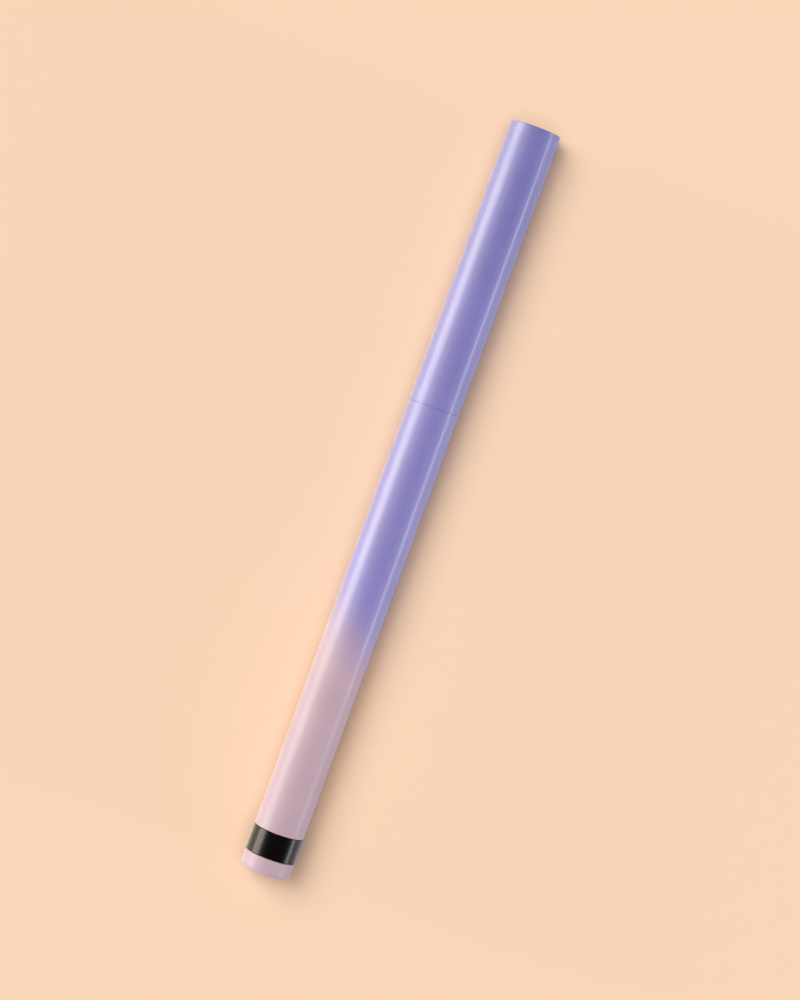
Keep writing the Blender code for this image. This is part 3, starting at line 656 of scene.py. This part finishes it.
lead_low, lead_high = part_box("lead")
lead = turn(
    "gel_lead",
    [(lead_low.x, LEAD_RADIUS), (lead_high.x, LEAD_RADIUS)],
    LEAD_SIDES,
    closed=False,
)
round_ring(lead, lead_high.x, LEAD_RADIUS, LEAD_TIP_EDGE, LEAD_TIP_STEPS)
round_ring(lead, lead_low.x, LEAD_RADIUS, FINE_EDGE)
smooth(lead)

DRAW_LINES = (150, 7000, 7000)
GEL_GRIT = 14000.0
GEL_BLACK = paint(8, 7, 8)
GRIT_BLACK = paint(20, 18, 20)
GEL_ROUGHNESS = (0.36, 0.55)
GRIT_SHARE = 0.4
GEL_RELIEF = 0.35
GEL_RELIEF_HEIGHT = 0.01 * MM

waxy_gel, tree, shader = start_material("waxy_gel")
draw_lines = noise(tree, pen_space(tree, DRAW_LINES), 1.0, detail=3.0)
grit = noise(tree, pen_space(tree), GEL_GRIT, detail=3.0)
tree.links.new(mix_paint(tree, grit, GEL_BLACK, GRIT_BLACK), shader.inputs["Base Color"])
roughness = remap(tree, draw_lines, *NOISE_CORE, *GEL_ROUGHNESS)
tree.links.new(roughness, shader.inputs["Roughness"])
relief = combine(tree, "ADD", draw_lines, combine(tree, "MULTIPLY", grit, GRIT_SHARE))
raise_surface(tree, shader, relief, GEL_RELIEF, GEL_RELIEF_HEIGHT)
lead.data.materials.append(waxy_gel)
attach(lead, "lead_slide")
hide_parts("lead")


# Spiral drive, all inside the barrel: the knob's shaft turns the sleeve in its bush, and
# the sleeve's spiral moves the carrier, whose lugs stand in the slots of the guide tube.

natural_plastic = moulded(
    "natural_plastic", paint(228, 226, 220), paint(218, 215, 208), roughness=0.38, relief=0.12
)
grey_plastic = moulded(
    "grey_plastic", paint(154, 154, 160), paint(144, 144, 151), roughness=0.34, relief=0.12
)
for node in ("guide_tube", "rear_bush", "rotor_shaft", "lead_carrier"):
    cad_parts[node].data.materials.clear()
    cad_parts[node].data.materials.append(natural_plastic)
for node in ("spiral_sleeve", "lead_cup"):
    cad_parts[node].data.materials.clear()
    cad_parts[node].data.materials.append(grey_plastic)

SHAFT_RUBBER_PLACE = from_tail(10.8)
SHAFT_RUBBER_RADIUS = 2.18 * MM
SHAFT_RUBBER_SIDES = 64
rubber_ring(
    "shaft_drag_ring",
    SHAFT_RUBBER_PLACE,
    SHAFT_RUBBER_RADIUS,
    "twister",
    "drag_o_ring",
    SHAFT_RUBBER_SIDES,
)


# Tail: the knob that is twisted, sprayed pale pink like the barrel above it, with the
# polished black ring that tells the shade pressed onto its spigot.

RING_BORE = 3.50 * MM
RING_EDGE = 0.08 * MM
KNOB_SPIGOT_RADIUS = 3.45 * MM
KNOB_SOCKET_RADIUS = 2.20 * MM
KNOB_SOCKET_FLOOR = from_tail(2.0)
KNOB_ROUNDING = 0.80 * MM
KNOB_ROUNDING_STEPS = 10
SPIGOT_LEAD_IN = 0.25 * MM
GATE_RADIUS = 0.55 * MM
GATE_DEPTH = 0.06 * MM
TONGUE_WIDTH = 1.20 * MM
TONGUE_ROOT = 0.20 * MM
TONGUE_END = from_tail(3.8)

ring_low, ring_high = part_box("shade_ring")
shade_ring = turn(
    "shade_band",
    [
        (ring_low.x, RING_BORE),
        (ring_low.x, PEN_RADIUS),
        (ring_high.x, PEN_RADIUS),
        (ring_high.x, RING_BORE),
    ],
)
for end in (ring_low.x, ring_high.x):
    round_ring(shade_ring, end, PEN_RADIUS, RING_EDGE)
    round_ring(shade_ring, end, RING_BORE, FINE_EDGE)
smooth(shade_ring)
shade_ring.data.materials.append(gloss_black)
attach(shade_ring, "twister")
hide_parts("shade_ring")

knob_front = from_tail(3.0)
knob = turn(
    "twist_knob",
    [
        (TAIL_END + GATE_DEPTH, GATE_RADIUS),
        (TAIL_END, GATE_RADIUS + GATE_DEPTH),
        (TAIL_END, PEN_RADIUS),
        (knob_front, PEN_RADIUS),
        (knob_front, KNOB_SPIGOT_RADIUS),
        (ring_high.x - SPIGOT_LEAD_IN, KNOB_SPIGOT_RADIUS),
        (ring_high.x, KNOB_SPIGOT_RADIUS - SPIGOT_LEAD_IN),
        (ring_high.x, KNOB_SOCKET_RADIUS),
        (KNOB_SOCKET_FLOOR, KNOB_SOCKET_RADIUS),
    ],
    closed=False,
)
round_ring(knob, TAIL_END, PEN_RADIUS, KNOB_ROUNDING, KNOB_ROUNDING_STEPS)
round_ring(knob, knob_front, PEN_RADIUS, BARREL_EDGE)
tongue = (KNOB_SOCKET_FLOOR - TONGUE_ROOT, TONGUE_END)
join_block(knob, "UNION", tongue, TONGUE_WIDTH, 2 * (KNOB_SOCKET_RADIUS + TONGUE_ROOT))
smooth(knob)

pink_lacquer, tree, shader = start_material("pink_lacquer")
flow = use_effect(tree, sprayed_flow)
colour = cloud_paint(tree, flow, PALE_PINK)
lay_lacquer(tree, shader, flow, colour, MISTED_WEIGHT, MISTED_ROUGHNESS)
knob.data.materials.append(pink_lacquer)
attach(knob, "twister")
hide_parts("tail_knob")


# Cap: a long moulding, closed and flat at its end, sprayed lavender to its mouth.
# Inside are the groove that takes the neck's bead, and a bead that holds the liner.

CAP_BORE = 3.70 * MM
CAP_CEILING = from_tail(135.7)
CAP_EDGE = 0.15 * MM
CAP_LEAD_IN = 0.25 * MM
CAP_GROOVE_DEPTH = 0.10 * MM
CAP_GROOVE_REACH = 0.70 * MM
LINER_BEAD_PLACE = from_tail(95.6)
LINER_BEAD_REACH = 0.30 * MM
LINER_BEAD_HEIGHT = 0.18 * MM
BOSS_RADIUS = 1.40 * MM
BOSS_HEIGHT = 1.00 * MM

cap_low, cap_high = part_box("cap_shell")
cap = turn(
    "long_cap",
    [
        (cap_high.x - GATE_DEPTH, GATE_RADIUS),
        (cap_high.x, GATE_RADIUS + GATE_DEPTH),
        (cap_high.x, PEN_RADIUS),
        (cap_low.x, PEN_RADIUS),
        (cap_low.x, CAP_BORE + CAP_LEAD_IN),
        (cap_low.x + CAP_LEAD_IN, CAP_BORE),
        (NECK_BEAD_PLACE - CAP_GROOVE_REACH, CAP_BORE),
        (NECK_BEAD_PLACE, CAP_BORE + CAP_GROOVE_DEPTH),
        (NECK_BEAD_PLACE + CAP_GROOVE_REACH, CAP_BORE),
        (LINER_BEAD_PLACE - LINER_BEAD_REACH, CAP_BORE),
        (LINER_BEAD_PLACE, CAP_BORE - LINER_BEAD_HEIGHT),
        (LINER_BEAD_PLACE + LINER_BEAD_REACH, CAP_BORE),
        (CAP_CEILING, CAP_BORE),
        (CAP_CEILING, BOSS_RADIUS),
        (CAP_CEILING - BOSS_HEIGHT, BOSS_RADIUS),
    ],
    closed=False,
)
round_ring(cap, cap_high.x, PEN_RADIUS, CAP_EDGE, ROUND_STEPS)
round_ring(cap, cap_low.x, PEN_RADIUS, BARREL_EDGE)
smooth(cap)

lavender_lacquer, tree, shader = start_material("lavender_lacquer")
flow = use_effect(tree, sprayed_flow)
depth = remap(tree, axes(tree)["X"], cap_low.x, cap_high.x)
sprayed = cloud_paint(tree, flow, mix_paint(tree, depth, LAVENDER, DEEP_LAVENDER))
end_wall_middle = (CAP_CEILING + cap_high.x) / 2
colour = outside_only(tree, sprayed, MOULDING, end_wall_middle)
lay_lacquer(tree, shader, flow, colour, CLEAR_WEIGHT, PEARL_ROUGHNESS)
cap.data.materials.append(lavender_lacquer)
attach(cap, "cap")
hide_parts("cap_shell")


# Liner: a thin airtight cup inside the cap, with a soft lip that seats on the neck. A coil
# spring behind it presses it home.

LINER_SIDES = 72
LINER_RADIUS = 3.45 * MM
LINER_BORE = 3.00 * MM
LINER_FLANGE_RADIUS = 3.60 * MM
LINER_FLOOR = from_tail(130.2)
LINER_FRONT = from_tail(131.0)
LINER_FLANGE = (from_tail(96.1), from_tail(97.1))
LINER_BAND = (from_tail(129.0), from_tail(130.0))
LINER_EDGE = 0.25 * MM

liner_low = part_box("inner_cap")[0]
liner = turn(
    "airtight_liner",
    [
        (LINER_FLOOR, LINER_BORE),
        (liner_low.x, LINER_BORE),
        (liner_low.x, LINER_RADIUS),
        (LINER_FLANGE[0], LINER_RADIUS),
        (LINER_FLANGE[0], LINER_FLANGE_RADIUS),
        (LINER_FLANGE[1], LINER_FLANGE_RADIUS),
        (LINER_FLANGE[1], LINER_RADIUS),
        (LINER_BAND[0], LINER_RADIUS),
        (LINER_BAND[0], LINER_FLANGE_RADIUS),
        (LINER_BAND[1], LINER_FLANGE_RADIUS),
        (LINER_BAND[1], LINER_RADIUS),
        (LINER_FRONT, LINER_RADIUS),
        (LINER_FRONT, BOSS_RADIUS),
        (LINER_FRONT + BOSS_HEIGHT, BOSS_RADIUS),
    ],
    LINER_SIDES,
    closed=False,
)
round_ring(liner, LINER_FLOOR, LINER_BORE, LINER_EDGE)
round_ring(liner, LINER_FRONT, LINER_RADIUS, LINER_EDGE)
round_ring(liner, liner_low.x, LINER_BORE, FINE_EDGE)
smooth(liner)
liner.data.materials.append(natural_plastic)
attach(liner, "cap_liner")
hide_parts("inner_cap")

SEAL_LIP = 0.20 * MM
seal_low, seal_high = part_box("inner_cap_seal")
seal = turn(
    "liner_lip",
    [
        (seal_low.x, LINER_BORE + SEAL_LIP / 2),
        (seal_low.x, LINER_RADIUS - SEAL_LIP / 2),
        (seal_low.x + SEAL_LIP, LINER_RADIUS),
        (seal_high.x, LINER_RADIUS),
        (seal_high.x, LINER_BORE),
        (seal_low.x + SEAL_LIP, LINER_BORE),
    ],
    LINER_SIDES,
)
smooth(seal)
grey_rubber = moulded(
    "grey_rubber",
    paint(156, 156, 161),
    paint(145, 145, 151),
    roughness=0.50,
    relief=0.20,
    grains=RUBBER_GRAINS,
)
seal.data.materials.append(grey_rubber)
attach(seal, "cap_liner")
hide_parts("inner_cap_seal")

WIRE_RADIUS = 0.175 * MM
WIRE_ROUNDING_STEPS = 3
COIL_RADIUS = 1.73 * MM
COIL_TURNS = 6
TURN_STEPS = 40
CLOSED_TURNS = 1.0
CLOSED_PITCH = 2.1 * WIRE_RADIUS

spring_low, spring_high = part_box("cap_spring")
coil_start = spring_low.x + WIRE_RADIUS
coil_length = spring_high.x - spring_low.x - 2 * WIRE_RADIUS
open_pitch = (coil_length - 2 * CLOSED_TURNS * CLOSED_PITCH) / (COIL_TURNS - 2 * CLOSED_TURNS)
wire = bpy.data.curves.new("cap_coil", "CURVE")
wire.dimensions = "3D"
wire.bevel_depth = WIRE_RADIUS
wire.bevel_resolution = WIRE_ROUNDING_STEPS
wire.use_fill_caps = True
spline = wire.splines.new("POLY")
spline.points.add(COIL_TURNS * TURN_STEPS)
reach = coil_start
for step, point in enumerate(spline.points):
    turns = step / TURN_STEPS
    angle = 2 * pi * turns
    point.co = (reach, COIL_RADIUS * cos(angle), AXIS_HEIGHT + COIL_RADIUS * sin(angle), 1)
    in_closed_end = turns < CLOSED_TURNS or turns >= COIL_TURNS - CLOSED_TURNS
    reach += (CLOSED_PITCH if in_closed_end else open_pitch) / TURN_STEPS
coil = bpy.data.objects.new("cap_coil", wire)
bpy.context.scene.collection.objects.link(coil)
pick(coil)
bpy.ops.object.convert(target="MESH")
coil = bpy.context.object
smooth(coil)

DRAW_MARKS = 9000.0
STEEL = paint(176, 178, 182)
BRIGHT_STEEL = paint(200, 202, 206)
STEEL_ROUGHNESS = (0.20, 0.32)

drawn_steel, tree, shader = start_material("drawn_steel")
shader.inputs["Metallic"].default_value = 1.0
draw_marks = noise(tree, pen_space(tree), DRAW_MARKS, detail=3.0)
tree.links.new(mix_paint(tree, draw_marks, STEEL, BRIGHT_STEEL), shader.inputs["Base Color"])
roughness = remap(tree, draw_marks, *NOISE_CORE, *STEEL_ROUGHNESS)
tree.links.new(roughness, shader.inputs["Roughness"])
coil.data.materials.append(drawn_steel)
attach(coil, "cap")
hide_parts("cap_spring")
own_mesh(coil)


# Studio: a seamless peach floor with a peach wall low down all round, soft lamps overhead,
# to the left and low at both sides, and four tinted cards that show only in the gloss: one
# standing at each side, which draws a long highlight, and one lying in front of its foot.

PEACH = paint(251, 215, 184)
FLOOR_SIZE = 6.0
FLOOR_CUTS = 3
bpy.ops.mesh.primitive_plane_add(size=FLOOR_SIZE, location=(0, 0, 0))
floor = bpy.context.object
floor.name = "studio_floor"
bpy.ops.object.mode_set(mode="EDIT")
bpy.ops.mesh.subdivide(number_cuts=FLOOR_CUTS)
bpy.ops.object.mode_set(mode="OBJECT")
paper, _, shader = start_material("peach_paper")
shader.inputs["Base Color"].default_value = PEACH
shader.inputs["Roughness"].default_value = 1.0
shader.inputs["Specular IOR Level"].default_value = 0.0
floor.data.materials.append(paper)

# The wall's top and its soft edge are sines of the angle that they stand over the floor.
AMBIENT = 0.05
WALL_TOP = 0.17
WALL_FADE = 0.06
world = bpy.data.worlds.new("studio_room")
bpy.context.scene.world = world
world.use_nodes = True
tree = world.node_tree
room = tree.nodes["Background"]
rays = add_node(tree, "ShaderNodeLightPath").outputs
mirrored = combine(tree, "MAXIMUM", rays["Is Glossy Ray"], rays["Is Transmission Ray"])
seen = combine(tree, "MAXIMUM", rays["Is Camera Ray"], mirrored)
towards = add_node(tree, "ShaderNodeTexCoord").outputs["Object"]
height = add_node(tree, "ShaderNodeSeparateXYZ", {0: towards}).outputs["Z"]
wall = remap(tree, height, WALL_TOP, WALL_TOP + WALL_FADE, 1.0, 0.0, "SMOOTHSTEP")
wall_seen = combine(tree, "MULTIPLY", seen, wall)
dim_room = (AMBIENT, AMBIENT, AMBIENT, 1)
tree.links.new(mix_paint(tree, wall_seen, dim_room, PEACH), room.inputs["Color"])


def soft_sun(name, share, towards, spread, colour=(1, 1, 1)):
    """A round soft light far off in a direction, giving this share of the floor's light.

    Its spread is how wide it looks from the pen, in degrees.
    """
    direction = Vector(towards).normalized()
    data = bpy.data.lights.new(name, "SUN")
    data.angle = radians(spread)
    data.energy = share * pi / direction.z
    data.color = colour
    lamp = bpy.data.objects.new(name, data)
    lamp.rotation_euler = direction.to_track_quat("Z", "Y").to_euler()
    lamp.visible_glossy = False
    bpy.context.scene.collection.objects.link(lamp)


LOW_LEFT = (0, 1, 0.09)
LOW_RIGHT = (0, -1, 0.09)
soft_sun("overhead_light", share=0.483, towards=(0, 0.02, 1), spread=54)
soft_sun("left_light", share=0.423, towards=(0.40, 0.68, 1), spread=38)
soft_sun("low_left_light", share=0.017, towards=LOW_LEFT, spread=8, colour=(0.80, 0.98, 1.0))
soft_sun("low_right_light", share=0.025, towards=LOW_RIGHT, spread=8, colour=(0.66, 0.86, 1.0))

CARD_DISTANCE = 0.35
CARD_LENGTH = 0.60
LYING_CARD_START = 5.0 * MM
LYING_CARD_HEIGHT = 0.2 * MM


def gloss_card(name, width, place, tilt, brightness, colour):
    """A long bright card that only the gloss shows, and whose light the pen doesn't pass on.

    It is centred at the place, and tilted about the pen's direction. Its brightness is
    the radiance of its face.
    """
    data = bpy.data.lights.new(name, "AREA")
    data.shape = "RECTANGLE"
    data.size = CARD_LENGTH
    data.size_y = width
    data.energy = brightness * pi * CARD_LENGTH * width
    data.color = colour
    data.cycles.max_bounces = 0
    card = bpy.data.objects.new(name, data)
    card.location = place
    card.rotation_euler = (tilt, 0, 0)
    card.visible_diffuse = False
    card.visible_camera = False
    bpy.context.scene.collection.objects.link(card)


# The sides as the camera sees them: its left is +Y.
LEFT = 1
RIGHT = -1


def standing_card(name, side, top, brightness, colour):
    """A card at one side, from the pen's height up to this many degrees seen from the pen."""
    height = CARD_DISTANCE * tan(radians(top))
    place = (0, side * CARD_DISTANCE, AXIS_HEIGHT + height / 2)
    gloss_card(name, height, place, -side * pi / 2, brightness, colour)


def lying_card(name, side, brightness, colour):
    """A card that lies face up beside the pen, from near it out to the standing one."""
    width = CARD_DISTANCE - LYING_CARD_START
    place = (0, side * (LYING_CARD_START + width / 2), LYING_CARD_HEIGHT)
    gloss_card(name, width, place, pi, brightness, colour)


standing_card("left_card", LEFT, top=35, brightness=10.7, colour=(1.0, 0.98, 0.80))
standing_card("right_card", RIGHT, top=11, brightness=9.8, colour=(0.83, 0.96, 1.0))
lying_card("left_lying_card", LEFT, brightness=1.1, colour=(0.88, 0.94, 0.74))
lying_card("right_lying_card", RIGHT, brightness=0.66, colour=(0.37, 0.64, 1.0))

# The camera looks down on the pen, from a little towards the cap, and sees it lean.
CAMERA_PLACE = Vector((23.05 * MM, 0, AXIS_HEIGHT + 504 * MM))
CAMERA_AIM = Vector((0.45 * MM, 0, AXIS_HEIGHT))
PEN_LEAN = radians(20.05)
LONG_SIDE = 1000
LENS_PIXELS = 2912
camera_data = bpy.data.cameras.new("photo_camera")
camera_data.lens = LENS_PIXELS / LONG_SIDE * camera_data.sensor_width
camera = bpy.data.objects.new("photo_camera", camera_data)
back = (CAMERA_PLACE - CAMERA_AIM).normalized()
up = Vector((cos(PEN_LEAN), sin(PEN_LEAN), 0))
right = up.cross(back).normalized()
up = back.cross(right)
turned = Matrix((right, up, back)).transposed().to_4x4()
camera.matrix_world = Matrix.Translation(CAMERA_PLACE) @ turned
bpy.context.scene.collection.objects.link(camera)
bpy.context.scene.camera = camera
bpy.context.scene.view_settings.view_transform = "Standard"
